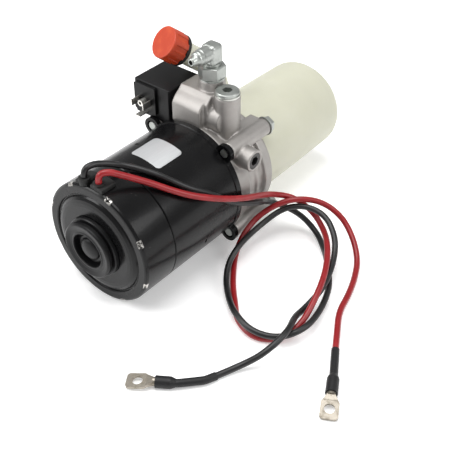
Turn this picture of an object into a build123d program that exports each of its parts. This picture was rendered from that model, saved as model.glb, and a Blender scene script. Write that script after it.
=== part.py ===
from build123d import *
import os
from math import acos, cos, pi, radians, sin, sqrt, tan

# Hydraulic power unit: a DC motor, an aluminium pump and valve casting, and a plastic oil tank on one axis.
# Everything is drawn about the motor axis (X, from the motor's rear to the tank, X = 0 at the rear rim)
# and moved at the end, so that the body stands on Z = 0 and is centred on X = Y = 0.

# ---- driving dimensions (mm) ----
MOTOR_R = 57.0          # outside radius of the motor
REAR_X = -12.6          # rear end of the bearing cap
TANK_END_X = 303.0      # far end of the tank
SEAM_X = 35.5           # seam between rear housing and can
CAN_END_X = 117.0       # drive end of the can
JOINT_X = 123.0         # front face of the motor flange
CAST_X = 124.0          # rear face of the casting, after the gasket
RING_X = 173.0          # tank face of the casting
SPIGOT_X = 181.0        # end of the spigot inside the tank
EAR_R = 60.0            # radius of the four long bolts
EAR_ANGLES = [41.4, 131.4, 221.4, 311.4]   # from +Y towards +Z
SHAFT_R = 7.5
PUMP_SHAFT_R = 6.0
GAP = 0.05              # radial running clearance of shafts
EAR_X = 118.6           # rear face of the motor's ears
TANK_R = 46.5
WALL = 2.6              # tank wall
END_ROUND = 13.0        # rounding of the tank's far end
COIL_X, COIL_Z = 142.0, 62.0                # axis of the solenoid valve
COIL_X0, COIL_X1 = 124.0, 165.0
COIL_Y0, COIL_Y1 = 27.0, 69.0
COIL_Z0, COIL_Z1 = 45.0, 80.0
NUT_END_Y = 75.0        # outermost point on the coil side
RELIEF_END_Y = -60.0    # outermost point on the cable side
RELIEF_X, RELIEF_Z = 137.7, 36.2
CHECK_X, CHECK_Y = 145.0, -22.8
ELBOW_X, ELBOW_Y, ELBOW_LEG_Z = 150.8, -0.9, 118.0
ELBOW_SEAT_Z = 92.8     # top of the boss under the elbow
GEAR_TEETH, GEAR_MODULE = 12, 1.5
GEAR_CENTRES = GEAR_TEETH * GEAR_MODULE
GEAR_X0, GEAR_X1 = 186.2, 196.1
NECK_ANGLE = 68.0       # radial plane of the filler neck, from +Y towards +Z
NECK_TILT = 41.3        # spout's rise from -X towards the outside
CAP_FACE = (141.2, 124.2)   # X and radius of the cap's face centre in that plane
CAP_R, CAP_LENGTH = 14.9, 17.4
CAP_BORE_R = 12.3
CORD_R = 2.75
SLEEVE_R, BOOT_R = 3.4, 5.0
BARREL_R = 3.6          # barrel of the ring lugs
LUG_THICK, LUG_HOLE_R, LUG_HOLE_S = 2.2, 4.3, 14.2   # tongue, M8 hole, its distance from the sleeve
CENTRE_X = (REAR_X + TANK_END_X) / 2
CENTRE_Y = (NUT_END_Y + RELIEF_END_Y) / 2
FLOOR = -MOTOR_R

# Cable grommets: X and Y of the neck, angle of the saddle, height of the neck's top.
GROMMETS = {"red": (6.0, -4.0, 95.0, 62.0), "black": (3.5, 10.0, 78.0, 62.5)}
PLUG_X, PLUG_R = 11.5, 3.2

# ---- small helpers ----


def xcyl(x0, x1, r, y=0.0, z=0.0):
    """Cylinder along X."""
    return Pos((x0 + x1) / 2, y, z) * Rot(0, 90, 0) * Cylinder(r, x1 - x0)


def ycyl(y0, y1, r, x=0.0, z=0.0):
    """Cylinder along Y."""
    return Pos(x, (y0 + y1) / 2, z) * Rot(90, 0, 0) * Cylinder(r, y1 - y0)


def zcyl(z0, z1, r, x=0.0, y=0.0):
    """Cylinder along Z."""
    return Pos(x, y, (z0 + z1) / 2) * Cylinder(r, z1 - z0)


def block(x0, x1, y0, y1, z0, z1):
    """Box between two corners."""
    return Pos((x0 + x1) / 2, (y0 + y1) / 2, (z0 + z1) / 2) * Box(x1 - x0, y1 - y0, z1 - z0)


def ring(x0, x1, outer, inner):
    """Tube along the motor axis."""
    return xcyl(x0, x1, outer) - xcyl(x0 - 1, x1 + 1, inner)


def turned(points):
    """Solid turned about the motor axis from (x, radius) points."""
    return revolve(make_face(Polyline(*points, close=True)), Axis.X)


def polar(angle, radius):
    """Y and Z at an angle from +Y towards +Z."""
    return radius * cos(radians(angle)), radius * sin(radians(angle))


def spun(solid, angle):
    """The solid turned about the motor axis."""
    return Rot(angle, 0, 0) * solid


def hexagon(across_flats, height):
    """Upright hexagonal bar, centred."""
    return extrude(RegularPolygon(across_flats / sqrt(3), 6), height / 2, both=True)


def coil_spring(radius, wire, length, turns):
    """Helical compression spring from the origin along +Z."""
    path = Helix((length - wire) / turns, length - wire, radius)
    start = Plane(path @ 0, z_dir=path % 0)
    return Pos(0, 0, wire / 2) * sweep(start * Circle(wire / 2), path, is_frenet=True)


def group(solids):
    """Like pieces kept apart in one node."""
    return Compound([part for item in solids for part in item.solids()])


def save(name, shape):
    """Move the piece to the row frame and write its file."""
    moved = Pos(-CENTRE_X, -CENTRE_Y, MOTOR_R) * shape
    export_step(moved, f"parts/{name}.step")


# ---- motor ----


def end_cover():
    """Pressed rear cover: rolled rim with eight stakes, dished plate, bearing seat."""
    profile = [
        (5.0, 57.0), (2.6, 57.0), (1.2, 56.5), (0.3, 55.4), (0.0, 54.0), (0.0, 48.2), (0.5, 47.4),
        (1.6, 46.8), (1.6, 46.0), (0.2, 44.8), (-1.2, 42.6), (-1.9, 40.0), (-2.2, 37.0), (-2.2, 12.05),
        (-0.2, 12.05), (7.0, 12.05), (7.0, 14.5), (-0.2, 14.5), (-0.2, 37.0), (0.6, 41.0),
        (2.0, 44.6), (3.6, 46.0), (3.6, 48.4), (2.2, 49.4), (2.2, 53.6), (2.8, 54.4), (5.0, 54.4),
    ]
    cover = turned(profile)
    for k in range(8):
        notch = Pos(0, 57.0, 0) * Box(3.4, 3.4, 4.4)
        cover -= spun(notch, 63.7 + 45 * k)
    return cover


def bearing_cap():
    """Moulded round cap over the rear bearing, with a groove and a cupped face."""
    profile = [
        (-2.2, 0.0), (-2.2, 27.6), (-3.0, 28.0), (-5.2, 27.8), (-6.0, 27.0), (-6.3, 24.0), (-7.7, 24.0),
        (-8.0, 25.6), (-8.6, 26.2), (-11.0, 26.2), (-12.0, 25.8), (REAR_X, 24.8), (REAR_X, 24.0),
        (-12.2, 22.6), (-11.5, 20.6), (-11.2, 18.4), (-11.7, 16.8), (-11.6, 16.2), (-11.0, 16.0),
        (-5.0, 16.0), (-5.0, 0.0),
    ]
    return turned(profile)


def hub_plug():
    """Domed centre plug inside the bearing cap."""
    dome = [(-5.0, 0.0), (-5.0, 13.2), (-7.0, 13.2), (-7.4, 12.6), (-7.4, 10.6)]
    rise = [(-7.4 - 4.4 * sin(radians(a)), 10.5 * cos(radians(a))) for a in range(0, 90, 10)]
    return turned(dome + rise[1:] + [(-11.8, 0.0)])


def rear_housing():
    """Short steel housing round the brushes, with two holes for the cable grommets."""
    tube = turned([(5.0, 54.0), (5.0, 57.0), (34.6, 57.0), (35.2, 56.4), (35.2, 54.0)])
    for grommet_values in GROMMETS.values():
        tube -= spun(ycyl(50, 60, PLUG_R + 0.05, PLUG_X), grommet_values[2])
    return tube


def motor_can():
    """Main steel can (yoke) with two locating slots."""
    can = turned([(35.8, 53.0), (35.8, 56.4), (36.4, 57.0), (CAN_END_X, 57.0), (CAN_END_X, 53.0)])
    for slot_x, angle in ((74.5, 69.0), (76.7, 198.0)):
        can -= spun(Pos(slot_x, 55.0, 0) * Box(2.2, 8.0, 5.4), angle)
    return can


def motor_flange():
    """Drive-end shield with four bolt ears and the front bearing seat."""
    plate = turned([
        (CAN_END_X, 14.0), (CAN_END_X, 46.0), (113.0, 46.0), (113.0, 52.9), (CAN_END_X, 52.9),
        (CAN_END_X, 57.2), (117.6, 57.8), (122.4, 57.8), (JOINT_X, 57.2), (JOINT_X, 14.0),
    ])
    for angle in EAR_ANGLES:
        y, z = polar(angle, EAR_R)
        web = spun(Pos((EAR_X + JOINT_X) / 2, 56.0, 0) * Box(JOINT_X - EAR_X, 12.0, 15.0), angle)
        plate += xcyl(EAR_X, JOINT_X, 8.6, y, z) + web
        plate -= xcyl(100, 130, 4.0, y, z) + xcyl(100, EAR_X + 1.8, 5.6, y, z)
    return plate - xcyl(100, 130, 16.0) - block(100, 130, -40, 40, FLOOR - 5, FLOOR)


def pole_magnets():
    """Four curved magnets on the inside of the can."""
    whole = ring(46.0, 108.0, 52.9, 46.4)
    wedge = Pos(77, 50, 0) * Box(62, 12, 52)
    return group([spun(whole & wedge, 45 + 90 * k) for k in range(4)])


SLOTS = 16


def armature_core():
    """Laminated rotor stack with open slots."""
    core = ring(52.0, 102.0, 45.6, SHAFT_R)
    for k in range(SLOTS):
        core -= spun(Pos(77, 39.5, 0) * Box(52, 13.2, 5.0), 360 * k / SLOTS)
    return core


def armature_windings():
    """Copper bars in the slots, joined by the two end turns."""
    ends = turned([(40.5, 14.0), (40.5, 34.0), (44.0, 41.0), (52.0, 43.5), (52.0, 14.0)])
    ends += turned([(102.0, 14.0), (102.0, 43.5), (108.0, 41.0), (111.0, 34.0), (111.0, 14.0)])
    for k in range(SLOTS):
        ends += spun(Pos(77, 38.6, 0) * Box(52, 9.6, 4.4), 360 * k / SLOTS)
    return ends


def commutator():
    """Copper commutator with undercut slots."""
    drum = ring(15.5, 40.5, 18.0, SHAFT_R)
    for k in range(2 * SLOTS):
        drum -= spun(Pos(24, 17.8, 0) * Box(18, 1.6, 0.7), 360 * k / (2 * SLOTS))
    return drum


def brush_box(angle, cut):
    """Brass box of one brush, or the room inside it."""
    if cut:
        return spun(Pos(23.5, 26.5, 0) * Box(16.2, 24, 8.2), angle)
    return spun(Pos(22.5, 30, 0) * Box(19, 19, 11), angle)


def brush_holders():
    """Four brass boxes that guide the brushes."""
    return group([brush_box(45 + 90 * k, False) - brush_box(45 + 90 * k, True) for k in range(4)])


def brush_plate():
    """Insulating ring that carries the brush boxes."""
    return ring(10.0, 13.0, 53.8, 21.0)


def brushes():
    """Four carbon blocks hollowed to the commutator."""
    made = []
    for k in range(4):
        blank = Pos(23.5, 25.5, 0) * Box(16, 16, 8)
        made.append(spun(blank - xcyl(10, 40, 18.1), 45 + 90 * k))
    return group(made)


def brush_springs():
    """Four springs that push the brushes inwards."""
    spring = Pos(23.5, 33.6, 0) * Rot(-90, 0, 0) * coil_spring(3.0, 0.7, 4.8, 3)
    return group([spun(spring, 45 + 90 * k) for k in range(4)])


def bearing(x0, x1, outer, inner):
    """Ball bearing drawn as one grooved ring."""
    mid = (outer + inner) / 2
    body = ring(x0, x1, outer, inner)
    return body - ring(x0 - 1, x0 + 0.8, mid + 1.2, mid - 1.2) - ring(x1 - 0.8, x1 + 1, mid + 1.2, mid - 1.2)


def grommet(colour):
    """Rubber cable boot: saddle on the housing, neck and collar, plug through the wall."""
    neck_x, neck_y, angle, top = GROMMETS[colour]
    saddle = Pos(9.2, 58.2, 0) * Box(15.6, 5.4, 13.0)
    saddle = spun(fillet(saddle.edges().filter_by(Axis.X), 1.6), angle)
    neck = zcyl(52, top, 4.4, neck_x, neck_y) + zcyl(top - 2.6, top, 5.0, neck_x, neck_y)
    body = (saddle + neck) - xcyl(-5, 30, MOTOR_R + 0.02)
    return body + spun(ycyl(54.1, 58.0, PLUG_R, PLUG_X), angle)


def motor_gasket():
    """Flat gasket between motor and casting."""
    gasket = ring(JOINT_X, CAST_X, 56.6, 44.0)
    for angle in EAR_ANGLES:
        gasket -= xcyl(120, 126, 4.1, *polar(angle, EAR_R))
    return gasket


def motor_bolts():
    """Four long bolts through the casting into the motor's ears."""
    made = []
    for angle in EAR_ANGLES:
        y, z = polar(angle, EAR_R)
        head = Pos(180.65, y, z) * Rot(0, 90, 0) * hexagon(13.0, 5.3)
        made.append(xcyl(EAR_X + 0.6, 178.2, 3.98, y, z) + head)
    return group(made)


def bolt_washers():
    """Four washers that also hold the tank's flange."""
    made = []
    for angle in EAR_ANGLES:
        y, z = polar(angle, EAR_R)
        made.append(xcyl(176.5, 178.0, 9.0, y, z) - xcyl(170, 180, 4.2, y, z))
    return group(made)


# ---- drive and gear pump ----


def motor_shaft():
    """Motor shaft from the rear bearing to the coupling."""
    return xcyl(-2.0, 137.0, SHAFT_R - GAP)


def shaft_coupling():
    """Sleeve that joins the motor shaft to the pump shaft."""
    sleeve = turned([(126.0, 0.0), (126.0, 10.0), (127.0, 11.0), (147.0, 11.0), (148.0, 10.0), (148.0, 0.0)])
    return sleeve - xcyl(120, 137.2, SHAFT_R - GAP) - xcyl(138.8, 150, PUMP_SHAFT_R)


def pump_shaft():
    """Pump drive shaft through the seal."""
    return xcyl(139.0, 200.8, PUMP_SHAFT_R)


def involute_gear(bore):
    """Spur gear blank with involute teeth, stubbed tips and backlash, along X from GEAR_X0."""
    pitch_r = GEAR_CENTRES / 2
    base_r = pitch_r * cos(radians(20))
    tip_r = pitch_r + 0.8 * GEAR_MODULE
    root_r = pitch_r - 1.15 * GEAR_MODULE
    half = pi / (2 * GEAR_TEETH) - 0.08 / pitch_r
    lean = tan(radians(20)) - radians(20)
    flank = [(root_r, half + lean)]
    for k in range(6):
        r = base_r + (tip_r - base_r) * k / 5
        a = acos(base_r / r)
        flank.append((r, half + lean - (tan(a) - a)))
    points = []
    for tooth in range(GEAR_TEETH):
        turn = 2 * pi * tooth / GEAR_TEETH
        points += [(r * cos(turn - a), r * sin(turn - a)) for r, a in flank]
        points += [(r * cos(turn + a), r * sin(turn + a)) for r, a in reversed(flank)]
    outline = make_face(Polyline(*points, close=True))
    gear = extrude(outline, GEAR_X1 - GEAR_X0)
    if bore:
        gear -= Cylinder(bore, 60)
    return gear


def laid_along_x(shape, x0, turn):
    """Turn a piece drawn along +Z to lie along +X, spun by an angle."""
    return Pos(x0, 0, 0) * Rot(0, 90, 0) * Rot(0, 0, turn) * shape


def drive_gear():
    """Gear on the pump shaft."""
    return laid_along_x(involute_gear(PUMP_SHAFT_R), GEAR_X0, 0.0)


def driven_gear():
    """Driven gear with its own journal shaft, half a tooth out of step."""
    gear = laid_along_x(involute_gear(0), GEAR_X0, 180.0 / GEAR_TEETH)
    return Pos(0, 0, -GEAR_CENTRES) * (gear + xcyl(182.0, 200.8, 5.0))


def stadium(x0, x1, r):
    """Pump outline: two rounds joined by a block."""
    return xcyl(x0, x1, r) + xcyl(x0, x1, r, 0, -GEAR_CENTRES) + block(x0, x1, -r, r, -GEAR_CENTRES, 0)


PUMP_SCREWS = [(10.1, 10.1), (-10.1, 10.1), (10.1, -28.1), (-10.1, -28.1)]
PORT_Y, PORT_Z, PORT_R = 9.5, -9.0, 2.6     # inlet at +Y, outlet at -Y, both beside the mesh


def pump_body():
    """Gear housing with two crossing pockets."""
    body = stadium(SPIGOT_X, 196.2, 18.5)
    for z in (0.0, -GEAR_CENTRES):
        body -= xcyl(GEAR_X0 - 0.1, 200, 10.5, 0, z)
    for y in (-PORT_Y, PORT_Y):
        body -= xcyl(GEAR_X0, 200, 3.2, y, PORT_Z)
    body -= xcyl(170, 200, PORT_R, -PORT_Y, PORT_Z)
    body -= xcyl(170, 190, PUMP_SHAFT_R + GAP) + xcyl(SPIGOT_X + 0.6, 190, 5.0 + GAP, 0, -GEAR_CENTRES)
    for y, z in PUMP_SCREWS:
        body -= xcyl(170, 200, 2.6, y, z)
    return body


def pump_cover():
    """Cover plate of the pump with blind shaft bores and the inlet."""
    cover = stadium(196.2, 203.0, 18.5)
    cover -= xcyl(190, 201, PUMP_SHAFT_R + GAP) + xcyl(190, 201, 5.0 + GAP, 0, -GEAR_CENTRES)
    for y, z in PUMP_SCREWS:
        cover -= xcyl(190, 210, 2.6, y, z)
    return cover - xcyl(190, 210, PORT_R, PORT_Y, PORT_Z)


def pump_screws():
    """Four socket screws that hold the pump to the casting."""
    made = []
    for y, z in PUMP_SCREWS:
        screw = xcyl(172, 203, 2.5, y, z) + xcyl(203, 208, 4.2, y, z)
        socket = Pos(207, y, z) * Rot(0, 90, 0) * hexagon(4.0, 4.0)
        made.append(screw - socket)
    return group(made)


def shaft_seal():
    """Lip seal round the pump shaft."""
    return ring(150.0, 156.0, 12.0, PUMP_SHAFT_R + GAP)


# ---- casting and valves ----


def pump_casting():
    """Aluminium body: drum, tank ring, bolt bosses, valve block, ports and foot."""
    drum = turned([
        (CAST_X, 0.0), (CAST_X, 54.4), (126.0, 55.2), (139.0, 54.6), (142.0, 52.6), (149.0, 51.6),
        (151.0, 52.6), (154.5, 52.6), (156.0, 50.6), (161.5, 50.4), (163.0, 53.6), (171.8, 54.2),
        (RING_X, 53.4), (RING_X, 42.9), (176.6, 42.9), (176.6, 40.8), (179.4, 40.8), (179.4, 42.9),
        (SPIGOT_X, 42.9), (SPIGOT_X, 0.0),
    ])
    for angle in EAR_ANGLES:
        y, z = polar(angle, EAR_R)
        boss = xcyl(CAST_X, 176.5, 8.0, y, z)
        web = spun(Pos(150, 50, 0) * Box(50, 16, 11), angle)
        drum += (boss + web) - xcyl(RING_X, 180, 52.0)
    drum += chamfer(block(130, 165, -12, 24, 20, 84).edges().filter_by(Axis.Y).group_by(Axis.Z)[-1], 7.0)
    drum += ycyl(-8, 24, 20.0, COIL_X, COIL_Z) + ycyl(-24, -7, 14.0, 143.5, COIL_Z)
    drum += zcyl(60, ELBOW_SEAT_Z, 12.0, ELBOW_X, ELBOW_Y) - zcyl(86, 100, 12.0, CHECK_X, CHECK_Y)
    drum += zcyl(30, 86, 11.6, CHECK_X, CHECK_Y)
    drum += ycyl(RELIEF_END_Y, -20, 10.2, RELIEF_X, RELIEF_Z)
    drum += block(140, 176.5, -44, -24, 40, 52) - xcyl(RING_X, 180, 52.0) - xcyl(176.5, 180, 60)
    foot = block(130, 170, -24, 24, FLOOR, -40)
    drum += chamfer(foot.edges().filter_by(Axis.Z), 3.0)
    drum -= block(119, COIL_X1 + 2, 24.6, 80, COIL_Z0 - 0.4, 90) + block(110, CAST_X, -80, 80, -80, 90)
    return drum - casting_bores()


def casting_bores():
    """Everything drilled or cored out of the casting."""
    cut = xcyl(100, 150, 13.0) + xcyl(149, 156.2, 12.0) + xcyl(150, 190, PUMP_SHAFT_R + GAP)
    for angle in EAR_ANGLES:
        y, z = polar(angle, EAR_R)
        cut += xcyl(100, 190, 4.1, y, z)
    for y, z in PUMP_SCREWS:
        cut += xcyl(171, 190, 2.5, y, z)
    cut += ycyl(0, 40, 8.0, COIL_X, COIL_Z) + zcyl(COIL_Z, 100, 8.0, ELBOW_X, ELBOW_Y)
    cut += zcyl(50, 80, 7.0, CHECK_X, CHECK_Y) + zcyl(75, 100, 8.2, CHECK_X, CHECK_Y)
    cut += zcyl(24, 51, 3.5, CHECK_X, CHECK_Y) + xcyl(166, 190, PORT_R, -PORT_Y, PORT_Z)
    slant = Vector(CHECK_X, CHECK_Y, 27) - Vector(167, -PORT_Y, PORT_Z)
    middle = Plane(origin=(Vector(CHECK_X, CHECK_Y, 27) + Vector(167, -PORT_Y, PORT_Z)) / 2, z_dir=slant)
    cut += middle.location * Cylinder(2.5, slant.length)
    cut += ycyl(CHECK_Y, 0, 3.0, COIL_X + 3, 56)
    cut += ycyl(-70, -46, 7.55, RELIEF_X, RELIEF_Z) + ycyl(-47, -28, 4.2, RELIEF_X, RELIEF_Z)
    cut += ycyl(-28, -18, 2.0, RELIEF_X, RELIEF_Z)
    cut += xcyl(RELIEF_X, CHECK_X + 2, 2.5, CHECK_Y, RELIEF_Z)
    cut += xcyl(COIL_X, 190, 3.0, 20, 30) + zcyl(30, 60, 3.0, COIL_X, 20)
    for y in (-15.0, 15.0):
        cut += zcyl(FLOOR - 1, FLOOR + 15, 3.4, 150, y)
    return cut


def check_ball():
    """Steel ball of the check valve on its seat."""
    return Pos(CHECK_X, CHECK_Y, 53.7) * Sphere(5.0)


def check_spring():
    """Light spring above the ball."""
    return Pos(CHECK_X, CHECK_Y, 58.9) * coil_spring(4.0, 0.9, 15.8, 5)


def check_plug():
    """Hex-socket plug over the check valve."""
    plug = zcyl(75, 88, 8.15, CHECK_X, CHECK_Y)
    head = chamfer(zcyl(87.4, 90.6, 10.6, CHECK_X, CHECK_Y).edges().group_by(Axis.Z)[-1], 0.8)
    return plug + head - Pos(CHECK_X, CHECK_Y, 88) * hexagon(8.0, 10.0)


def plug_seal():
    """Bonded washer under the plug's head."""
    return zcyl(86, 87.4, 11.4, CHECK_X, CHECK_Y) - zcyl(80, 90, 8.2, CHECK_X, CHECK_Y)


def relief_poppet():
    """Cone that closes the relief passage."""
    cone = Pos(0, 0, 1.6) * Cone(3.4, 0.6, 4.0)
    stem = Pos(0, 0, -2.4) * Cylinder(4.15, 4.0)
    guide = Pos(0, 0, -6.4) * Cylinder(1.9, 4.0)
    return Pos(RELIEF_X, -30.0, RELIEF_Z) * Rot(-90, 0, 0) * (cone + stem + guide)


def relief_spring():
    """Stiff spring of the relief valve."""
    return Pos(RELIEF_X, -34.5, RELIEF_Z) * Rot(90, 0, 0) * coil_spring(3.1, 1.5, 11.6, 4)


def relief_seat():
    """Disc between the relief spring and its screw."""
    return ycyl(-48.0, -46.1, 7.48, RELIEF_X, RELIEF_Z)


def relief_screw():
    """Adjusting screw with a hexagon socket."""
    screw = ycyl(-59.4, -48.05, 7.48, RELIEF_X, RELIEF_Z)
    return screw - Pos(RELIEF_X, -57, RELIEF_Z) * Rot(90, 0, 0) * hexagon(8.0, 8.0)


def valve_stem():
    """Cartridge tube of the solenoid valve, with its hexagon between casting and coil."""
    stem = ycyl(4, 74.6, 6.5, COIL_X, COIL_Z) + ycyl(4, 24, 7.95, COIL_X, COIL_Z)
    stem += Pos(COIL_X, 25.5, COIL_Z) * Rot(90, 0, 0) * hexagon(24.0, 3.0)
    return stem - ycyl(0, 71, 4.06, COIL_X, COIL_Z)


def valve_plunger():
    """Sliding plunger inside the cartridge."""
    return ycyl(22, 60, 4.0, COIL_X, COIL_Z) + ycyl(10, 22, 2.6, COIL_X, COIL_Z)


def valve_spring():
    """Return spring behind the plunger."""
    return Pos(COIL_X, 60.1, COIL_Z) * Rot(-90, 0, 0) * coil_spring(3.0, 0.7, 10.6, 5)


PAD_THICK = 2.6     # connector pad's height above the coil


def coil_housing():
    """Moulded solenoid coil with the connector pad on its side."""
    box = fillet(block(COIL_X0, COIL_X1, COIL_Y0, COIL_Y1, COIL_Z0, COIL_Z1).edges(), 1.4)
    pad = block(COIL_X0 - PAD_THICK, COIL_X0 + 2, 42, 67.5, 50, COIL_Z1 - 2.5)
    pad = fillet(pad.edges().filter_by(Axis.X), 2.0)
    return box + pad - ycyl(20, 80, 6.55, COIL_X, COIL_Z)


def coil_nut():
    """Nut that holds the coil on the cartridge."""
    nut = Pos(COIL_X, (COIL_Y1 + NUT_END_Y) / 2, COIL_Z) * Rot(90, 0, 0) * hexagon(19.0, NUT_END_Y - COIL_Y1)
    return nut - ycyl(60, 80, 6.52, COIL_X, COIL_Z)


def coil_terminals():
    """Flat connector blades and the centre screw bush."""
    face = COIL_X0 - PAD_THICK
    blades = [
        block(face - 10, face, 61.5, 62.3, 58.5, 64.8),
        block(face - 10, face, 47.5, 48.3, 58.5, 64.8),
        block(face - 10, face, 51.9, 58.2, 50.2, 51.0),
    ]
    bush = xcyl(face - 6, face, 3.0, 55.0, 61.7) - xcyl(face - 9, face + 1, 1.5, 55.0, 61.7)
    return group(blades + [bush])


def elbow_nut():
    """Hexagon lock nut and washer under the elbow."""
    nut = Pos(ELBOW_X, ELBOW_Y, ELBOW_SEAT_Z + 7.4) * hexagon(22.0, 11.4)
    nut = chamfer(nut.edges().group_by(Axis.Z)[-1], 0.8)
    washer = zcyl(ELBOW_SEAT_Z, ELBOW_SEAT_Z + 1.7, 11.9, ELBOW_X, ELBOW_Y)
    return nut + washer - zcyl(80, 110, 8.02, ELBOW_X, ELBOW_Y)


def outlet_elbow():
    """Forged right-angle fitting: threaded leg, rounded heart, horizontal pipe with a coned nose."""
    leg = zcyl(70, 112, 8.0, ELBOW_X, ELBOW_Y) - zcyl(108, 120, 30, ELBOW_X, ELBOW_Y)
    leg += zcyl(107, ELBOW_LEG_Z, 7.2, ELBOW_X, ELBOW_Y)
    heart = Pos(ELBOW_X, ELBOW_Y, ELBOW_LEG_Z - 2.4) * Box(14.8, 14.8, 19.6)
    heart = fillet(heart.edges(), 4.0)
    nose_x = ELBOW_X - 27.6
    pipe = turned([
        (ELBOW_X, 0.0), (ELBOW_X, 6.9), (nose_x + 19.4, 6.9), (nose_x + 19.4, 7.3),
        (nose_x + 12.4, 7.3), (nose_x + 11.6, 6.7), (nose_x + 8.6, 6.7),
        (nose_x + 8.0, 6.4), (nose_x + 6.8, 6.2), (nose_x + 5.6, 4.8), (nose_x + 4.4, 4.2),
        (nose_x + 0.6, 3.5), (nose_x, 2.9), (nose_x, 0.0),
    ])
    body = leg + heart + Pos(0, ELBOW_Y, ELBOW_LEG_Z) * pipe
    bore = xcyl(nose_x - 1, ELBOW_X, 2.2, ELBOW_Y, ELBOW_LEG_Z)
    return body - bore - zcyl(60, ELBOW_LEG_Z, 3.5, ELBOW_X, ELBOW_Y)


# ---- tank and filler ----


def neck_place():
    """Location of the cap's face: local +Z points outwards along the spout."""
    x, r = CAP_FACE
    y, z = polar(NECK_ANGLE, r)
    out = Vector(-cos(radians(NECK_TILT)), *polar(NECK_ANGLE, sin(radians(NECK_TILT))))
    across = Vector(0, *polar(NECK_ANGLE - 90, 1.0))
    return Plane(origin=(x, y, z), x_dir=across, z_dir=out).location


SPOUT = 62.0    # cap face to the bend
NECK_R, NECK_BORE_R = 10.4, 8.2


def neck_path(start):
    """Centreline of the filler neck, from inside the tank wall to the mouth."""
    x, r = CAP_FACE
    bend_x = x + SPOUT * cos(radians(NECK_TILT))
    bend_r = r - SPOUT * sin(radians(NECK_TILT))
    foot = (bend_x, *polar(NECK_ANGLE, start))
    bend = (bend_x, *polar(NECK_ANGLE, bend_r))
    tip = (neck_place() * Pos(0, 0, -21.0)).position
    return FilletPolyline(foot, bend, tip, radius=20.0)


def neck_tube(r, start):
    """Round bar along the neck's centreline."""
    path = neck_path(start)
    return sweep(Plane(path @ 0, z_dir=path % 0) * Circle(r), path)


def tank():
    """Blow-moulded oil tank with flange, rounded end and bent filler neck."""
    bend_x = TANK_END_X - END_ROUND
    steps = [(sin(radians(a)), cos(radians(a))) for a in range(15, 91, 15)]
    outer = [(173.1, 51.6), (176.4, 51.6), (176.4, 47.4), (178.0, 46.9), (240.0, TANK_R), (bend_x, 45.6)]
    outer += [(bend_x + END_ROUND * s, 45.6 - END_ROUND * (1 - c)) for s, c in steps]
    outer += [(TANK_END_X, 0.0), (173.1, 0.0)]
    inside_round = END_ROUND - WALL
    inner = [(170.0, 0.0), (170.0, 43.6), (bend_x, 43.0)]
    inner += [(bend_x + inside_round * s, 43.0 - inside_round * (1 - c)) for s, c in steps]
    inner += [(TANK_END_X - WALL, 0.0)]
    place = neck_place()
    collar = Pos(0, 0, -13.8) * Cylinder(CAP_BORE_R - 0.3, 15.0)
    stop = Pos(0, 0, -21.9) * Cylinder(13.6, 1.4)
    cone = Pos(0, 0, -25.2) * Cone(NECK_R, CAP_BORE_R - 0.3, 5.4)
    shell = turned(outer) + neck_tube(NECK_R, 40.0) + place * (collar + stop + cone)
    shell -= turned(inner) + neck_tube(NECK_BORE_R, 30.0)
    return shell - place * (Pos(0, 0, -13.0) * Cylinder(NECK_BORE_R, 20.0))


def tank_oring():
    """O-ring between spigot and tank, flattened in its groove."""
    return Pos(178.0, 0, 0) * Rot(0, 90, 0) * Torus(42.15, 1.3)


def suction_strainer():
    """Bent pickup tube with a mesh basket low in the tank."""
    bends = [(203, PORT_Y, PORT_Z), (214, PORT_Y, PORT_Z), (214, PORT_Y, -30), (226, PORT_Y, -30)]
    path = FilletPolyline(*bends, radius=6.0)
    pipe = sweep(Plane(path @ 0, z_dir=path % 0) * Circle(4.0), path)
    basket = xcyl(224, 252, 8.4, PORT_Y, -30)
    for k in range(6):
        basket -= xcyl(227 + 4 * k, 229 + 4 * k, 9.0, PORT_Y, -30) - xcyl(226, 252, 7.6, PORT_Y, -30)
    return pipe + basket


def return_tube():
    """Thin tube that leads return oil to the far end of the tank."""
    return xcyl(177, 274, 2.95, 20, 30) - xcyl(170, 280, 2.0, 20, 30)


def filler_seal():
    """Rubber ring between cap and neck."""
    return neck_place() * (Pos(0, 0, -19.3) * (Cylinder(CAP_R - 0.3, 3.4) - Cylinder(CAP_BORE_R, 6.0)))


def cap_liner():
    """Breather disc inside the cap."""
    return neck_place() * (Pos(0, 0, -4.65) * Cylinder(CAP_BORE_R - 0.3, 3.0))


GRIPS = 9


def filler_cap():
    """Screw cap with finger grips."""
    blank = Pos(0, 0, -CAP_LENGTH / 2) * Cylinder(CAP_R, CAP_LENGTH)
    blank = fillet(blank.edges().group_by(Axis.Z)[-1], 0.9)
    for k in range(GRIPS):
        scallop = Pos(CAP_R + 1.8, 0, -11.0) * Box(6.0, 5.6, 15.0)
        blank -= Rot(0, 0, 360 * k / GRIPS) * fillet(scallop.edges().filter_by(Axis.Z), 1.2)
    return neck_place() * (blank - Pos(0, 0, -13.1) * Cylinder(CAP_BORE_R, 20.0))


# ---- cables ----
# Route points of each free cable, from its grommet to its sleeve.

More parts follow.
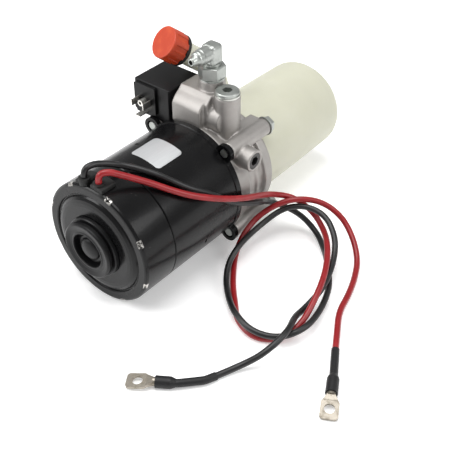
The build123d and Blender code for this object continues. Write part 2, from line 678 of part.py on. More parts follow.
RED_ROUTE = [
    (6, -4, 62), (6, -4, 70), (13, -9, 71), (19.5, -14, 67), (30, -22.5, 60.5), (40, -31.5, 54),
    (50.5, -41, 46), (63, -51, 38), (79, -59.5, 30), (97, -64.5, 21), (118, -66, 10.5),
    (139, -64.5, 0.5), (161, -63.5, -11), (179, -76, -19.5), (183.5, -95, -30.5), (174, -114.5, -37.5),
    (155.5, -130, -34.5), (136, -142.5, -36), (115, -152, -37), (93.5, -158, -41), (73, -161, -49),
    (51.5, -156, -53.5), (38.5, -137.5, -54), (43.5, -115.5, -51.5), (60, -100.5, -54),
    (76.5, -84.5, -54), (94, -71, -53.5), (110.5, -60.5, -50.5), (126, -57, -40), (147, -57.5, -31.5),
    (161, -69.5, -19.5), (173.5, -83.5, -14), (189.5, -99.5, -19.5), (196, -118, -31.5),
    (188.5, -136.5, -42.5), (174, -152, -51.5), (153.5, -162, -54), (131.5, -169.5, -54),
    (109, -174.5, -54), (89, -186, -54), (70.5, -196.5, -54),
]
BLACK_ROUTE = [
    (3.5, 10, 62.5), (3.5, 10, 70), (12.5, 8.5, 71), (22.5, 6, 67.5), (34.5, -1.5, 62.5), (44, -15, 59),
    (54, -33, 52.5), (66.5, -45.5, 41), (83.5, -53.5, 30), (102.5, -59.5, 12.5), (123.5, -64, 0.5),
    (141.5, -64, -9), (154.5, -59.5, -17.5), (170, -62.5, -27.5), (185, -79.5, -41),
    (183.5, -101, -52.5), (168, -119.5, -54), (151, -133, -46), (133, -149, -51), (113.5, -158.5, -49),
    (91, -165.5, -47.5), (67, -168.5, -45), (46.5, -157, -48), (37.5, -135, -46.5), (44, -112.5, -44.5),
    (59, -94, -50), (74.5, -78, -50.5), (91, -67.5, -45.5), (110, -65, -38), (140, -63, -37.5),
    (166, -72.5, -25.5), (177.5, -90.5, -21.5), (177.5, -112.5, -22.5), (166.5, -130.5, -31),
    (155, -138.5, -39.5), (136, -147, -42), (113, -153, -45), (87.5, -152, -49.5), (73, -153, -46),
    (49.5, -163.5, -37.5), (22.5, -160, -43.5), (7, -147, -54), (-12.5, -139, -54),
]
# Each cable's terminal: sleeve points from the cable to where it widens, its end, the tongue's tilt.
TERMINALS = {
    "red": (RED_ROUTE, [(46, -211, -52)], (28.5, -220.5, -52), 9.5),
    "black": (BLACK_ROUTE, [(-22, -135.5, -53.2), (-38.5, -121.5, -52)], (-48, -107, -52), 6.0),
}


def corner_radii(points):
    """One radius for each corner: 0.45 of the shorter run over the tangent of half the turn."""
    radii = []
    for a, b, c in zip(points, points[1:], points[2:]):
        before, after = Vector(b) - Vector(a), Vector(c) - Vector(b)
        half_turn = radians(before.get_angle(after)) / 2
        radii.append(0.45 * min(before.length, after.length) / tan(half_turn))
    return radii


def cord(name, points, radius):
    """Round bar along straight runs joined by arcs; prints its length and tightest radii."""
    radii = corner_radii(points)
    path = FilletPolyline(*points, radius=radii)
    tube = sweep(Plane(path @ 0, z_dir=path % 0) * Circle(radius), path)
    share = tube.volume / (pi * radius**2 * path.length)
    print(name, "length", round(path.length), "volume share", round(share, 4))
    print(name, "radii", [round(r) for r in radii])
    return tube


def boot_place(colour):
    """Location of the boot's wide start, local +Z along it, and the boot's length."""
    knee, end = Vector(TERMINALS[colour][1][-1]), Vector(TERMINALS[colour][2])
    return Plane(origin=knee, x_dir=(0, 0, 1), z_dir=end - knee).location, (end - knee).length


def sleeve(colour):
    """Shrink sleeve over the cable's end and the lug's barrel."""
    route, bends = TERMINALS[colour][:2]
    place, length = boot_place(colour)
    path = FilletPolyline(route[-1], *bends, (place * Pos(0, 0, 4)).position, radius=16.0)
    thin = sweep(Plane(path @ 0, z_dir=path % 0) * Circle(SLEEVE_R), path)
    boot = Pos(0, 0, 2.5) * Cone(SLEEVE_R - 0.4, BOOT_R, 5)
    boot += Pos(0, 0, (5 + length) / 2) * Cylinder(BOOT_R, length - 5)
    bore = Pos(0, 0, 8 + length / 2) * Cylinder(BARREL_R, length)
    return thin + place * (boot - bore)


def lug(colour):
    """Ring terminal: barrel in the sleeve, pinched neck, flat tongue with an M8 hole."""
    place, length = boot_place(colour)
    droop = TERMINALS[colour][3]
    barrel = Pos(0, 0, (8 + length + 2) / 2) * Cylinder(BARREL_R, length - 6)
    pinch = [Plane.XY.offset(0.5) * Rectangle(4.8, 4.8), Plane.XY.offset(7.0) * Rectangle(LUG_THICK, 12.0)]
    neck = loft(pinch)
    tongue = Pos(0, 0, 14.7) * Box(LUG_THICK, 14.4, 17.0)
    tongue = fillet(tongue.edges().filter_by(Axis.X), 3.0)
    tongue -= Pos(0, 0, LUG_HOLE_S) * Rot(0, 90, 0) * Cylinder(LUG_HOLE_R, 10)
    flat = Pos(0, 0, 5) * Rot(0, -droop, 0) * Pos(0, 0, -5) * tongue
    return place * (barrel + Pos(0, 0, length) * (neck + flat))


# ---- write every node ----

NODES = {
    "end_cover": end_cover, "bearing_cap": bearing_cap, "hub_plug": hub_plug,
    "rear_housing": rear_housing, "motor_can": motor_can, "motor_flange": motor_flange,
    "motor_gasket": motor_gasket, "motor_bolts": motor_bolts, "bolt_washers": bolt_washers,
    "pole_magnets": pole_magnets, "armature_core": armature_core, "armature_windings": armature_windings,
    "commutator": commutator, "motor_shaft": motor_shaft,
    "rear_bearing": lambda: bearing(-0.2, 7.0, 12.0, SHAFT_R),
    "front_bearing": lambda: bearing(117.5, JOINT_X, 15.95, SHAFT_R),
    "brush_plate": brush_plate, "brush_holders": brush_holders, "brushes": brushes,
    "brush_springs": brush_springs,
    "grommet_red": lambda: grommet("red"), "grommet_black": lambda: grommet("black"),
    "shaft_coupling": shaft_coupling, "pump_shaft": pump_shaft, "shaft_seal": shaft_seal,
    "drive_gear": drive_gear, "driven_gear": driven_gear, "pump_body": pump_body,
    "pump_cover": pump_cover, "pump_screws": pump_screws,
    "pump_casting": pump_casting, "check_ball": check_ball, "check_spring": check_spring,
    "check_plug": check_plug, "plug_seal": plug_seal,
    "relief_poppet": relief_poppet, "relief_spring": relief_spring, "relief_seat": relief_seat,
    "relief_screw": relief_screw,
    "valve_stem": valve_stem, "valve_plunger": valve_plunger, "valve_spring": valve_spring,
    "coil_housing": coil_housing, "coil_nut": coil_nut, "coil_terminals": coil_terminals,
    "outlet_elbow": outlet_elbow, "elbow_nut": elbow_nut,
    "tank": tank, "tank_oring": tank_oring, "suction_strainer": suction_strainer,
    "return_tube": return_tube, "filler_seal": filler_seal, "cap_liner": cap_liner,
    "filler_cap": filler_cap,
    "red_cable": lambda: cord("red_cable", RED_ROUTE, CORD_R),
    "black_cable": lambda: cord("black_cable", BLACK_ROUTE, CORD_R),
    "red_sleeve": lambda: sleeve("red"), "black_sleeve": lambda: sleeve("black"),
    "red_lug": lambda: lug("red"), "black_lug": lambda: lug("black"),
}

os.makedirs("parts", exist_ok=True)
for node, make in NODES.items():
    save(node, make())
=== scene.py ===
from math import cos, pi, radians, sin

import bmesh
import bpy
from mathutils import Matrix, Vector


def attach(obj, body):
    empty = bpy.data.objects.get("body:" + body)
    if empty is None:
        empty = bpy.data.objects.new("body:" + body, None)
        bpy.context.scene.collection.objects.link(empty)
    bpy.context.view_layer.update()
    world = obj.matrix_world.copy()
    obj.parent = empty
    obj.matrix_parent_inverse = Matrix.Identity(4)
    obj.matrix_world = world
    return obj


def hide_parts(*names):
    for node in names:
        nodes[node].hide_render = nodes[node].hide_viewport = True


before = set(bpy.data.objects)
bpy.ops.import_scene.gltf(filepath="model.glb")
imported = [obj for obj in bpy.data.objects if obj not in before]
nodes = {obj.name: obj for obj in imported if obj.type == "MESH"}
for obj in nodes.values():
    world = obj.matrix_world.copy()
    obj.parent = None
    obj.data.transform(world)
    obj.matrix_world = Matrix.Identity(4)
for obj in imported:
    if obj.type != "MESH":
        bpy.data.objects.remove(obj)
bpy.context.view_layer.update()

# ---- camera ----
# Looks down on the motor's rear cover, with the cables in front and the tank behind.

CAMERA_PLACE = (-0.5082, -0.4434, 0.5267)
camera = bpy.data.objects.new("camera", bpy.data.cameras.new("camera"))
bpy.context.scene.collection.objects.link(camera)
bpy.context.scene.camera = camera
camera.data.lens = 69.6
camera.data.sensor_width = 36.0
camera.data.clip_start = 0.02
aim_right = Vector((0.63245, -0.77460, -0.00213)).normalized()
aim_up = Vector((0.48750, 0.39589, 0.77821)).normalized()
aim_back = aim_right.cross(aim_up)
camera.matrix_world = Matrix.Translation(CAMERA_PLACE) @ Matrix(
    (aim_right, aim_up, aim_back)
).transposed().to_4x4()


# ---- material writing ----
# A wire is one socket of a material. Arithmetic on it adds nodes, and node() adds any other node.


class Wire:
    """One socket of a material's node tree."""

    def __init__(self, tree, socket=None):
        self.tree = tree
        self.socket = socket

    def node(self, kind, sockets=None, out=0, **settings):
        """Adds a node, sets its settings, then its sockets, and returns one of its outputs."""
        made = self.tree.nodes.new("ShaderNode" + kind)
        for name, value in settings.items():
            setattr(made, name, value)
        for name, value in (sockets or {}).items():
            if isinstance(value, Wire):
                self.tree.links.new(value.socket, made.inputs[name])
            else:
                made.inputs[name].default_value = value
        return Wire(self.tree, made.outputs[out])

    def maths(self, operation, first, second=0.0):
        return self.node("Math", {0: first, 1: second}, operation=operation)

    def __add__(self, other):
        return self.maths("ADD", self, other)

    __radd__ = __add__

    def __sub__(self, other):
        return self.maths("SUBTRACT", self, other)

    def __rsub__(self, other):
        return self.maths("SUBTRACT", other, self)

    def __mul__(self, other):
        return self.maths("MULTIPLY", self, other)

    __rmul__ = __mul__

    def clamp(self, low, high):
        """0 below low, 1 above high, straight between."""
        return self.node("MapRange", {0: self, 1: low, 2: high})

    def place(self):
        """The point's place in the row frame, in metres."""
        return self.node("TexCoord", out="Object")

    def noise(self, scale, detail=3.0, roughness=0.5, at=None):
        sockets = {"Vector": at or self.place(), "Scale": scale, "Detail": detail, "Roughness": roughness}
        return self.node("TexNoise", sockets)

    def mix(self, mask, low, high):
        """Colour between low and high by the mask."""
        both = {6: low, 7: high}
        both = {k: (*v, 1.0) if isinstance(v, tuple) else v for k, v in both.items()}
        return self.node("Mix", {0: mask, **both}, out=2, data_type="RGBA")

    def bump(self, height, strength, depth):
        """Normal from a height; depth is what a height of 1 stands for, in metres."""
        return self.node("Bump", {"Height": height, "Strength": strength, "Distance": depth})


def finish(name, varying, **fixed):
    """A material: fixed values on the shader's own sockets, varying ones from a function of a wire."""
    made = bpy.data.materials.new(name)
    made.use_nodes = True
    shader = made.node_tree.nodes["Principled BSDF"]
    for key, value in fixed.items():
        shader.inputs[key.replace("_", " ")].default_value = value
    for key, wire in varying(Wire(made.node_tree)).items():
        made.node_tree.links.new(wire.socket, shader.inputs[key])
    return made


def dress(node, material):
    """Gives a CAD node its material."""
    mesh = nodes[node].data
    mesh.materials.clear()
    mesh.materials.append(material)


# ---- battery cables ----
# Two stranded copper cables in soft PVC jackets, red and black, 5.5 mm thick. They leave the rubber boots
# on the rear housing, make one loose loop on the floor beside the motor and end in ring lugs.

CORD_DIAMETER = 0.0055
CENTRE = Vector((0.1452, 0.0075, -0.057))  # unit's centre and level, measured from the motor's rear rim


def jacket(name, dark, light, sheen):
    """Soft PVC with a faint drawn grain, scuffs and handling marks."""

    def varying(w):
        grain = w.noise(900.0, 2.0)
        scuff = w.noise(70.0, 5.0, 0.65).clamp(0.52, 0.75)
        return {
            "Base Color": w.mix(scuff * 0.6 + grain * 0.25, dark, light),
            "Roughness": sheen + scuff * 0.16 + grain * 0.08,
            "Normal": w.bump(grain * 0.4 + w.noise(160.0, 3.0), 0.25, 0.0002),
        }

    return finish(name, varying, IOR=1.5)


def cable(name, points, material):
    """A smooth round cable through its route's points, in millimetres from the motor's rear rim."""
    curve = bpy.data.curves.new(name, "CURVE")
    curve.dimensions = "3D"
    spline = curve.splines.new("NURBS")
    spline.points.add(len(points) - 1)
    for spot, point in zip(spline.points, points):
        spot.co = (*(Vector(point) * 0.001 - CENTRE), 1.0)
    spline.order_u = 3
    spline.use_endpoint_u = True
    spline.resolution_u = 10
    curve.bevel_depth = CORD_DIAMETER / 2
    curve.bevel_resolution = 6
    curve.materials.append(material)
    piece = bpy.data.objects.new(name, curve)
    bpy.context.scene.collection.objects.link(piece)
    return piece


red_jacket = jacket("red_jacket", (0.22, 0.0025, 0.005), (0.38, 0.014, 0.02), 0.30)
black_jacket = jacket("black_jacket", (0.003, 0.003, 0.0035), (0.016, 0.016, 0.017), 0.34)
RED_ROUTE = [
    (6, -4, 62), (6, -4, 70), (13, -9, 71), (19.5, -14, 67), (30, -22.5, 60.5), (40, -31.5, 54),
    (50.5, -41, 46), (63, -51, 38), (79, -59.5, 30), (97, -64.5, 21), (118, -66, 10.5),
    (139, -64.5, 0.5), (161, -63.5, -11), (179, -76, -19.5), (183.5, -95, -30.5), (174, -114.5, -37.5),
    (155.5, -130, -34.5), (136, -142.5, -36), (115, -152, -37), (93.5, -158, -41), (73, -161, -49),
    (51.5, -156, -53.5), (38.5, -137.5, -54), (43.5, -115.5, -51.5), (60, -100.5, -54),
    (76.5, -84.5, -54), (94, -71, -53.5), (110.5, -60.5, -50.5), (126, -57, -40), (147, -57.5, -31.5),
    (161, -69.5, -19.5), (173.5, -83.5, -14), (189.5, -99.5, -19.5), (196, -118, -31.5),
    (188.5, -136.5, -42.5), (174, -152, -51.5), (153.5, -162, -54), (131.5, -169.5, -54),
    (109, -174.5, -54), (89, -186, -54), (70.5, -196.5, -54),
]
BLACK_ROUTE = [
    (3.5, 10, 62.5), (3.5, 10, 70), (12.5, 8.5, 71), (22.5, 6, 67.5), (34.5, -1.5, 62.5), (44, -15, 59),
    (54, -33, 52.5), (66.5, -45.5, 41), (83.5, -53.5, 30), (102.5, -59.5, 12.5), (123.5, -64, 0.5),
    (141.5, -64, -9), (154.5, -59.5, -17.5), (170, -62.5, -27.5), (185, -79.5, -41),
    (183.5, -101, -52.5), (168, -119.5, -54), (151, -133, -46), (133, -149, -51), (113.5, -158.5, -49),
    (91, -165.5, -47.5), (67, -168.5, -45), (46.5, -157, -48), (37.5, -135, -46.5), (44, -112.5, -44.5),
    (59, -94, -50), (74.5, -78, -50.5), (91, -67.5, -45.5), (110, -65, -38), (140, -63, -37.5),
    (166, -72.5, -25.5), (177.5, -90.5, -21.5), (177.5, -112.5, -22.5), (166.5, -130.5, -31),
    (155, -138.5, -39.5), (136, -147, -42), (113, -153, -45), (87.5, -152, -49.5), (73, -153, -46),
    (49.5, -163.5, -37.5), (22.5, -160, -43.5), (7, -147, -54), (-12.5, -139, -54),
]
for colour, route, material, length in (
    ("red", RED_ROUTE, red_jacket, 0.817),
    ("black", BLACK_ROUTE, black_jacket, 0.89),
):
    piece = cable(colour + "_battery_cable", route, material)
    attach(piece, "unit_body")
    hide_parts(colour + "_cable")
    colour + "_pvc"
    nodes[colour + "_sleeve"]
    nodes[colour + "_lug"]


# ---- shrink sleeves and ring lugs ----
# Black heat-shrink tube pulled over each cable's end and the lug's barrel, and stamped lugs of tinned
# copper for an M8 stud, dulled by handling.


def shrunk(w):
    wrinkle = w.node("TexWave", {"Vector": w.place(), "Scale": 160.0, "Distortion": 6.0, "Detail": 2.0})
    return {
        "Base Color": w.mix(w.noise(300.0, 4.0), (0.003, 0.003, 0.0035), (0.012, 0.012, 0.013)),
        "Roughness": 0.42 + w.noise(220.0, 3.0) * 0.2,
        "Normal": w.bump(w.noise(260.0, 3.0) + wrinkle * 0.15, 0.5, 0.00035),
    }


def tinned(w):
    stain = w.noise(150.0, 5.0, 0.6).clamp(0.5, 0.72)
    spots = w.noise(900.0, 3.0, 0.7).clamp(0.58, 0.72)
    worn = w.mix(stain, (0.33, 0.30, 0.255), (0.20, 0.175, 0.135))
    return {
        "Base Color": w.mix(spots * 0.6, worn, (0.15, 0.125, 0.095)),
        "Roughness": 0.40 + stain * 0.2 + spots * 0.15,
        "Normal": w.bump(w.noise(500.0, 3.0), 0.3, 0.0001),
    }


sleeve_skin = finish("shrink_sleeve", shrunk, IOR=1.4)
tinned_copper = finish("tinned_copper", tinned, Metallic=0.95)
for colour in ("red", "black"):
    dress(colour + "_sleeve", sleeve_skin)
    dress(colour + "_lug", tinned_copper)


# ---- motor shell ----
# Drawn steel can, short rear housing and pressed rear cover, all in satin black paint. The cover is
# staked to the housing at eight places, where the paint is broken and bright steel shows.


def painted(w, chip):
    """Black paint over steel: orange peel, dust and light wear; chip is a mask of bare metal."""
    dust = w.noise(1500.0, 2.0, 0.7).clamp(0.66, 0.80)
    haze = w.noise(28.0, 4.0, 0.6)
    paint = w.mix(haze * 0.7 + dust * 0.6, (0.0016, 0.0016, 0.0018), (0.009, 0.009, 0.0095))
    peel = w.noise(420.0, 2.0) + haze * 0.5
    return {
        "Base Color": w.mix(chip, paint, (0.62, 0.60, 0.57)),
        "Metallic": chip * 0.9,
        "Roughness": 0.20 + haze * 0.12 + dust * 0.25 + chip * 0.1,
        "Normal": w.bump(peel + chip * 0.8, 0.22, 0.00012),
    }


STAKES = 8
STAKE_ANGLE = radians(63.7)  # first of the stakes, from +Y towards +Z
RIM_RADIUS = 0.0545  # where the cover's flat plate turns into its rim
RIM_DEPTH = 0.0032


def from_axis(w):
    """Distance from the motor axis, in metres."""
    spread = w.node("VectorMath", {0: w.place(), 1: tuple(CENTRE)}, operation="ADD")
    flat = w.node("VectorMath", {0: spread, 1: (0.0, 1.0, 1.0)}, operation="MULTIPLY")
    return w.node("VectorMath", {0: flat}, out=1, operation="LENGTH")


def along_axis(w):
    """Distance along the motor axis from the rear rim, in metres."""
    return w.node("SeparateXYZ", {0: w.place()}) + CENTRE.x


def around_axis(w):
    """Angle about the motor axis, from +Y towards +Z, in radians."""
    place = w.place()
    y = w.node("SeparateXYZ", {0: place}, out=1) + CENTRE.y
    z = w.node("SeparateXYZ", {0: place}, out=2) + CENTRE.z
    return w.maths("ARCTAN2", z, y)


def chipped_rim(w):
    outside = from_axis(w).clamp(RIM_RADIUS - 0.0005, RIM_RADIUS + 0.0005)
    rear = 1.0 - along_axis(w).clamp(RIM_DEPTH - 0.0006, RIM_DEPTH + 0.0006)
    stakes = w.maths("COSINE", (around_axis(w) - STAKE_ANGLE) * STAKES).clamp(0.86, 0.93)
    worn = w.noise(380.0, 4.0, 0.7).clamp(0.47, 0.53)
    return painted(w, outside * rear * stakes * worn)


def sound_paint(w):
    return painted(w, w.noise(620.0, 3.0, 0.6).clamp(0.755, 0.775))


shell_paint = finish("shell_paint", sound_paint, Coat_Weight=0.1, Coat_Roughness=0.08, IOR=1.25)
rim_paint = finish("rim_paint", chipped_rim, Coat_Weight=0.1, Coat_Roughness=0.1, IOR=1.25)
dress("motor_can", shell_paint)
dress("rear_housing", shell_paint)
dress("motor_flange", shell_paint)
dress("end_cover", rim_paint)


# ---- cap, plug and cable boots on the rear ----
# Black moulded cap over the rear bearing, its polished centre plug, and two soft rubber cable boots.


def moulded(w):
    swirl = w.noise(60.0, 4.0)
    grain = w.noise(1100.0, 2.0)
    return {
        "Base Color": w.mix(swirl, (0.003, 0.003, 0.0033), (0.010, 0.010, 0.0105)),
        "Roughness": 0.26 + swirl * 0.16 + grain * 0.06,
        "Normal": w.bump(grain * 0.5 + swirl, 0.2, 0.00012),
    }


def rubbery(w):
    bloom = w.noise(120.0, 4.0, 0.6)
    return {
        "Base Color": w.mix(bloom, (0.003, 0.003, 0.003), (0.013, 0.013, 0.0125)),
        "Roughness": 0.5 + bloom * 0.25,
        "Normal": w.bump(w.noise(700.0, 3.0), 0.35, 0.00015),
    }


black_moulding = finish("black_moulding", moulded, IOR=1.28)
black_rubber = finish("black_rubber", rubbery, IOR=1.4)
for name in ("bearing_cap", "hub_plug", "coil_housing", "coil_nut", "brush_plate"):
    dress(name, black_moulding)
for name in ("grommet_red", "grommet_black", "shaft_seal", "tank_oring", "filler_seal"):
    dress(name, black_rubber)


# ---- rating label ----
# Silver foil label with rounded corners, stuck on the can. Its fields are left blank.

LABEL_X = (0.0575, 0.0888)  # from the rear rim, along the can
LABEL_ANGLES = (78.0, 110.5)  # from +Y towards +Z
LABEL_RADIUS = 0.0572
LABEL_CORNER = 0.0035


def rounded_reach(t, half, corner):
    """Half length of a rounded rectangle's row that lies at t from its middle."""
    into = abs(t) - (half - corner)
    if into <= 0:
        return 0.0
    return corner - max(corner**2 - into**2, 0.0) ** 0.5


def label_mesh():
    rows, columns = 33, 24
    half_x = (LABEL_X[1] - LABEL_X[0]) / 2
    middle_x = sum(LABEL_X) / 2
    half_arc = radians(LABEL_ANGLES[1] - LABEL_ANGLES[0]) / 2 * LABEL_RADIUS
    middle_angle = radians(sum(LABEL_ANGLES) / 2)
    built = bmesh.new()
    grid = []
    for i in range(rows):
        x = -half_x + 2 * half_x * (1 - cos(pi * i / (rows - 1))) / 2
        reach = half_arc - rounded_reach(x, half_x, LABEL_CORNER)
        line = []
        for j in range(columns):
            angle = middle_angle + reach * (2 * j / (columns - 1) - 1) / LABEL_RADIUS
            spot = Vector((middle_x + x, LABEL_RADIUS * cos(angle), LABEL_RADIUS * sin(angle)))
            line.append(built.verts.new(spot - CENTRE))
        grid.append(line)
    for a, b in zip(grid, grid[1:]):
        for k in range(columns - 1):
            built.faces.new((a[k], b[k], b[k + 1], a[k + 1]))
    bmesh.ops.recalc_face_normals(built, faces=built.faces)
    mesh = bpy.data.meshes.new("rating_label")
    built.to_mesh(mesh)
    built.free()
    return mesh


def foil(w):
    drawn = w.node("VectorMath", {0: w.place(), 1: (60.0, 2500.0, 2500.0)}, operation="MULTIPLY")
    brushed = w.noise(1.0, 2.0, 0.5, drawn)
    crease = w.noise(90.0, 4.0, 0.6)
    return {
        "Base Color": w.mix(brushed, (0.46, 0.47, 0.48), (0.60, 0.61, 0.62)),
        "Roughness": 0.34 + brushed * 0.12,
        "Normal": w.bump(crease + brushed * 0.1, 0.2, 0.0002),
    }


def add_piece(name, mesh, body="unit_body"):
    piece = bpy.data.objects.new(name, mesh)
    bpy.context.scene.collection.objects.link(piece)
    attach(piece, body)
    return piece


label = add_piece("rating_label", label_mesh())
label.data.materials.append(finish("silver_foil", foil, Metallic=0.55))
for face in label.data.polygons:
    face.use_smooth = True
thick = label.modifiers.new("thickness", "SOLIDIFY")
thick.thickness = 0.00012
thick.offset = 0.0


# ---- pump and valve casting ----
# Aluminium casting with a fine blasted skin and soft cast corners. It carries the valves, the oil
# channels and the ring that the tank sits in; the ports and bolt faces are machined.

CAST_VOXEL = 0.0008


def cast_skin(w):
    sand = w.noise(1500.0, 2.0, 0.6)
    flow = w.noise(45.0, 5.0, 0.6)
    pits = w.noise(800.0, 3.0, 0.7).clamp(0.66, 0.74)
    tone = w.mix(flow * 0.7 + sand * 0.3, (0.23, 0.218, 0.208), (0.46, 0.44, 0.42))
    return {
        "Base Color": w.mix(pits * 0.35, tone, (0.13, 0.12, 0.11)),
        "Roughness": 0.38 + sand * 0.16 + flow * 0.08,
        "Normal": w.bump(sand * 0.6 + flow * 0.9 - pits * 0.5, 0.5, 0.00022),
    }


cast_aluminium = finish("cast_aluminium", cast_skin, Metallic=0.82)
casting = add_piece("blasted_casting", nodes["pump_casting"].data.copy())
casting.data.materials.clear()
casting.data.materials.append(cast_aluminium)
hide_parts("pump_casting")
remesh = casting.modifiers.new("skin", "REMESH")
remesh.mode = "VOXEL"
remesh.voxel_size = CAST_VOXEL
remesh.use_smooth_shade = True
soften = casting.modifiers.new("cast corners", "SMOOTH")
soften.factor = 0.5
soften.iterations = 4
dress("pump_casting", cast_aluminium)
dress("pump_body", cast_aluminium)
dress("pump_cover", cast_aluminium)


# ---- plated fittings ----
# Zinc-plated steel: elbow and its nut, check-valve plug, valve stem, bolts and washers.


def plated(w):
    cloud = w.noise(110.0, 4.0, 0.6)
    scratch = w.noise(1400.0, 3.0, 0.65)
    stain = w.noise(240.0, 4.0, 0.7).clamp(0.56, 0.74)
    tone = w.mix(cloud, (0.30, 0.315, 0.30), (0.48, 0.50, 0.475))
    return {
        "Base Color": w.mix(stain * 0.4, tone, (0.20, 0.20, 0.185)),
        "Roughness": 0.32 + cloud * 0.14 + stain * 0.15,
        "Normal": w.bump(scratch * 0.4 + cloud, 0.25, 0.00012),
    }


def ground(w):
    turned = w.node("VectorMath", {0: w.place(), 1: (3000.0, 90.0, 90.0)}, operation="MULTIPLY")
    line = w.noise(1.0, 2.0, 0.5, turned)
    return {
        "Base Color": w.mix(line, (0.45, 0.45, 0.45), (0.66, 0.66, 0.66)),
        "Roughness": 0.2 + line * 0.18,
        "Normal": w.bump(line, 0.2, 0.00008),
    }


def blackened(w):
    oil = w.noise(200.0, 4.0)
    return {
        "Base Color": w.mix(oil, (0.03, 0.03, 0.032), (0.09, 0.088, 0.085)),
        "Roughness": 0.3 + oil * 0.2,
        "Normal": w.bump(w.noise(900.0, 2.0), 0.2, 0.0001),
    }


zinc = finish("zinc_plate", plated, Metallic=0.95)
ground_steel = finish("ground_steel", ground, Metallic=1.0)
black_oxide = finish("black_oxide", blackened, Metallic=0.8)
for name in ("outlet_elbow", "elbow_nut", "check_plug", "valve_stem", "motor_bolts", "bolt_washers"):
    dress(name, zinc)
for name in ("motor_shaft", "shaft_coupling", "pump_shaft", "drive_gear", "driven_gear", "check_ball",
             "relief_poppet", "relief_seat", "valve_plunger", "rear_bearing", "front_bearing",
             "check_spring", "relief_spring", "valve_spring", "brush_springs", "armature_core"):
    dress(name, ground_steel)
for name in ("pump_screws", "relief_screw"):
    dress(name, black_oxide)


# ---- bonded washer under the check-valve plug ----
# Steel ring with a rubber lip moulded inside it.


PLUG_PLACE = Vector((0.145, -0.0228, 0.0))  # the plug's axis, from the motor's rear rim
LIP_RADIUS = 0.0099


def bonded(w):
    from_plug = tuple(Vector((CENTRE.x, CENTRE.y, 0.0)) - PLUG_PLACE)
    spot = w.node("VectorMath", {0: w.place(), 1: from_plug}, operation="ADD")
    flat = w.node("VectorMath", {0: spot, 1: (1.0, 1.0, 0.0)}, operation="MULTIPLY")
    steel = w.node("VectorMath", {0: flat}, out=1, operation="LENGTH")
    steel = steel.clamp(LIP_RADIUS - 0.0001, LIP_RADIUS + 0.0001)
    return {
        "Base Color": w.mix(steel, (0.012, 0.012, 0.012), (0.55, 0.55, 0.52)),
        "Metallic": steel * 0.9,
        "Roughness": 0.55 - steel * 0.25 + w.noise(400.0) * 0.1,
    }


dress("plug_seal", finish("bonded_washer", bonded))


# ---- coil terminals ----
# Tin-plated brass blades and the tapped bush between them.


def tin(w):
    dull = w.noise(500.0, 4.0)
    return {
        "Base Color": w.mix(dull, (0.62, 0.60, 0.55), (0.82, 0.81, 0.78)),
        "Roughness": 0.22 + dull * 0.2,
    }


dress("coil_terminals", finish("tin_plate", tin, Metallic=0.95))


# ---- oil tank ----
# Blow-moulded natural polyethylene: cream, waxy and faintly see-through, with its filler neck in one piece.


def waxy(w):
    cloud = w.noise(22.0, 4.0, 0.6)
    fine = w.noise(600.0, 2.0)
    return {
        "Base Color": w.mix(cloud, (0.47, 0.468, 0.37), (0.57, 0.568, 0.465)),
        "Roughness": 0.36 + cloud * 0.1 + fine * 0.06,
        "Normal": w.bump(cloud + fine * 0.15, 0.18, 0.0004),
    }


tank_plastic = finish(
    "tank_plastic",
    waxy,
    Transmission_Weight=0.05,
    Subsurface_Weight=0.3,
    Subsurface_Radius=(0.01, 0.01, 0.007),
    Subsurface_Scale=0.6,
    IOR=1.5,
)
dress("tank", tank_plastic)


def ivory(w):
    return {
        "Base Color": w.mix(w.noise(80.0), (0.70, 0.70, 0.66), (0.82, 0.82, 0.78)),
        "Roughness": 0.4 + w.noise(300.0) * 0.15,
    }


white_moulding = finish("white_moulding", ivory, IOR=1.5)
for name in ("suction_strainer", "return_tube", "cap_liner"):
    dress(name, white_moulding)


# ---- filler cap ----
# Orange-red moulded screw cap with grip flutes; a black rubber ring seals it on the neck.


def orange(w):
    scuff = w.noise(130.0, 5.0, 0.65).clamp(0.5, 0.8)
    grain = w.noise(1300.0, 2.0)
    return {
        "Base Color": w.mix(scuff, (0.42, 0.036, 0.006), (0.50, 0.062, 0.012)),
        "Roughness": 0.36 + scuff * 0.14 + grain * 0.08,
        "Normal": w.bump(grain * 0.4 + scuff * 0.4, 0.25, 0.00012),
    }


dress("filler_cap", finish("orange_moulding", orange, IOR=1.5, Subsurface_Weight=0.05))


# ---- inside the motor ----
# Magnets, wound armature, commutator and brush gear, seen only when the unit is opened.


def ferrite(w):
    return {
        "Base Color": w.mix(w.noise(300.0), (0.03, 0.03, 0.033), (0.07, 0.07, 0.075)),
        "Roughness": 0.6 + w.noise(700.0) * 0.2,
    }


def copper(w):
    wire = w.node("TexWave", {"Vector": w.place(), "Scale": 320.0, "Distortion": 1.5})
    return {
        "Base Color": w.mix(wire, (0.30, 0.08, 0.03), (0.66, 0.27, 0.13)),
        "Roughness": 0.28 + w.noise(300.0) * 0.15,
        "Normal": w.bump(wire, 0.4, 0.0003),
    }


def pressed_brass(w):
    return {
        "Base Color": w.mix(w.noise(200.0), (0.50, 0.34, 0.12), (0.70, 0.52, 0.22)),
        "Roughness": 0.3 + w.noise(500.0) * 0.15,
    }


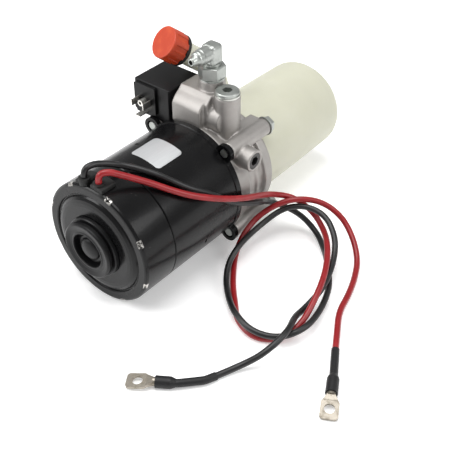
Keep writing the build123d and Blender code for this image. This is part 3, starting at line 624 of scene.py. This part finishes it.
def fibre(w):
    return {
        "Base Color": w.mix(w.noise(900.0), (0.02, 0.02, 0.02), (0.07, 0.068, 0.065)),
        "Roughness": 0.75 + w.noise(600.0) * 0.15,
    }


ferrite_block = finish("ferrite", ferrite)
copper_wire = finish("copper_wire", copper, Metallic=0.9)
for node, material in (
    ("pole_magnets", ferrite_block), ("brushes", ferrite_block), ("armature_windings", copper_wire),
    ("commutator", copper_wire), ("brush_holders", finish("pressed_brass", pressed_brass, Metallic=0.95)),
    ("motor_gasket", finish("fibre_gasket", fibre)),
):
    dress(node, material)


# ---- studio ----
# Plain pale floor that glows faintly, as painted light that lifts the shadows cast on it and lights the
# unit from below, and soft lamp light from above and both sides.

FLOOR_SIZE = 6.0
floor_mesh = bpy.data.meshes.new("studio_floor")
half = FLOOR_SIZE / 2
corners = [(-half, -half, 0), (half, -half, 0), (half, half, 0), (-half, half, 0)]
floor_mesh.from_pydata(corners, [], [(0, 1, 2, 3)])
floor = bpy.data.objects.new("studio_floor", floor_mesh)
bpy.context.scene.collection.objects.link(floor)


def paper(w):
    return {"Base Color": w.mix(w.noise(2.0), (0.90, 0.90, 0.90), (0.93, 0.93, 0.93))}


# The floor's emission is painted light: a faint glow that brightens the shadows falling on the floor.
glowing_studio_paper = finish(
    "glowing_studio_paper",
    paper,
    Roughness=0.9,
    Emission_Color=(1.0, 1.0, 1.0, 1.0),
    Emission_Strength=0.25,
)
floor_mesh.materials.append(glowing_studio_paper)
bpy.context.scene.view_settings.view_transform = "Standard"
world = bpy.data.worlds.new("studio")
bpy.context.scene.world = world
world.use_nodes = True
world.node_tree.nodes["Background"].inputs["Color"].default_value = (1.0, 1.0, 1.0, 1.0)
world.node_tree.nodes["Background"].inputs["Strength"].default_value = 0.45
for name, place, size, power in (
    ("top_light", (-0.1, 0.1, 1.3), 1.2, 16.0),
    ("left_light", (-1.0, 0.9, 0.9), 0.8, 12.0),
    ("right_light", (0.4, -1.3, 0.9), 0.9, 9.0),
):
    lamp = bpy.data.lights.new(name, "AREA")
    lamp.shape = "DISK"
    lamp.size = size
    lamp.energy = power
    light = bpy.data.objects.new(name, lamp)
    light.location = place
    light.rotation_euler = (Vector((0, 0, 0.06)) - Vector(place)).to_track_quat("-Z", "Y").to_euler()
    bpy.context.scene.collection.objects.link(light)
